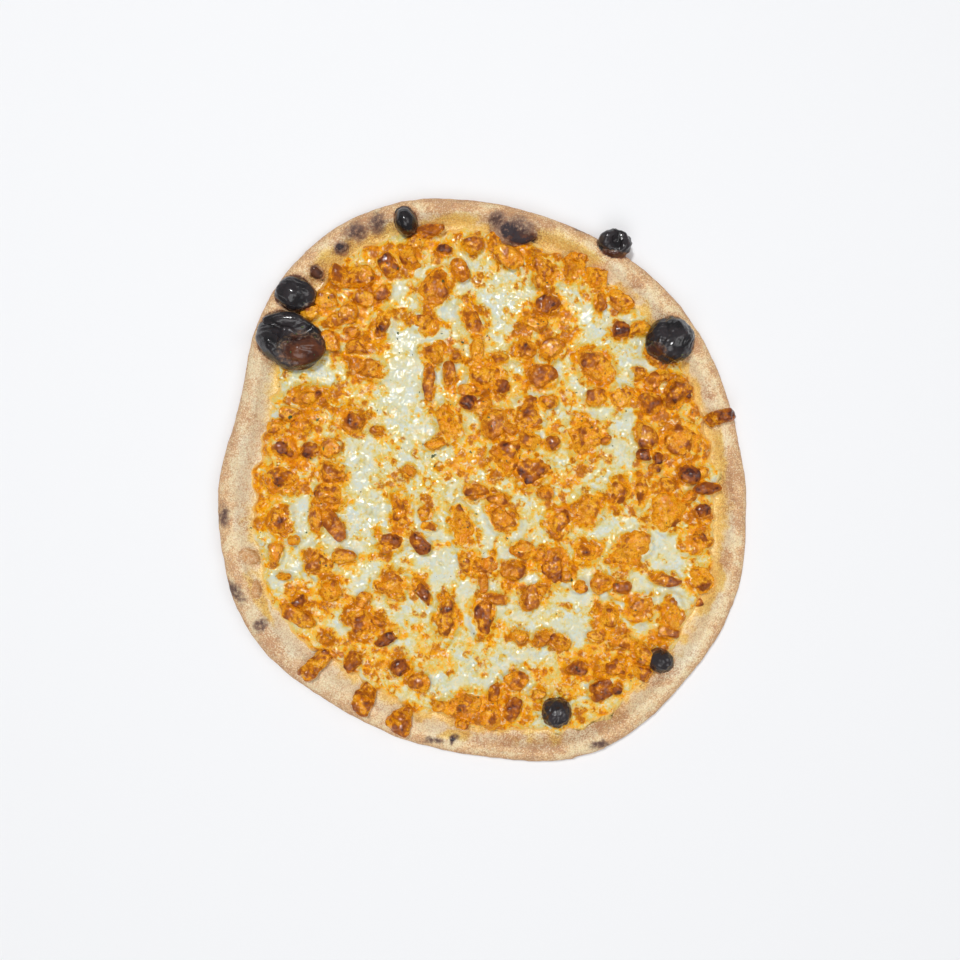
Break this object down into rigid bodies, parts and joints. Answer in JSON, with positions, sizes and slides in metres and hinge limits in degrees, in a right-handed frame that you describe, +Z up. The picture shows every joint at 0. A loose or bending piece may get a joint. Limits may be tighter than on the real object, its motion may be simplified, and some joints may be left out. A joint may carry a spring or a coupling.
{
  "type": "buffalo chicken pizza",
  "caption": "Whole baked thin-crust pizza, uneven and nearly round, with a puffed rim, charred bubbles and a melted cheese layer strewn with sauced chicken.",
  "frame": {"origin": "middle of the flat underside of the crust, on the surface that the pizza rests on", "axes": "+Z up through the toppings, +Y towards the top of the picture along the pizza's longest width, +X towards its right"},
  "size_m": [0.3746, 0.3985, 0.0286],
  "materials": {
    "dough": "baked, matt, floury, with browned and charred places",
    "cheese": "melted, oily, partly glossy, with browned blisters",
    "chicken": "coated with orange sauce, moist, browned on top"
  },
  "bodies": {
    "root": {"crust": "dough", "cheese": "cheese", "chicken_01": "chicken", "chicken_02": "chicken", "chicken_03": "chicken", "chicken_04": "chicken", "chicken_05": "chicken", "chicken_06": "chicken", "chicken_07": "chicken", "chicken_08": "chicken", "chicken_09": "chicken", "chicken_10": "chicken", "chicken_11": "chicken", "chicken_12": "chicken", "chicken_13": "chicken", "chicken_14": "chicken", "chicken_15": "chicken", "chicken_16": "chicken", "chicken_17": "chicken", "chicken_18": "chicken", "chicken_19": "chicken", "chicken_20": "chicken", "chicken_21": "chicken", "chicken_22": "chicken", "chicken_23": "chicken", "chicken_24": "chicken", "chicken_25": "chicken", "chicken_26": "chicken", "chicken_27": "chicken", "chicken_28": "chicken", "chicken_29": "chicken", "chicken_30": "chicken", "chicken_31": "chicken", "chicken_32": "chicken", "chicken_33": "chicken", "chicken_34": "chicken", "chicken_35": "chicken", "chicken_36": "chicken", "chicken_37": "chicken", "chicken_38": "chicken", "chicken_39": "chicken", "chicken_40": "chicken", "chicken_41": "chicken", "chicken_42": "chicken", "chicken_43": "chicken", "chicken_44": "chicken", "chicken_45": "chicken", "chicken_46": "chicken", "chicken_47": "chicken", "chicken_48": "chicken", "chicken_49": "chicken", "chicken_50": "chicken", "chicken_51": "chicken", "chicken_52": "chicken", "chicken_53": "chicken", "chicken_54": "chicken", "chicken_55": "chicken", "chicken_56": "chicken", "chicken_57": "chicken", "chicken_58": "chicken"}
  },
  "joints": []
}
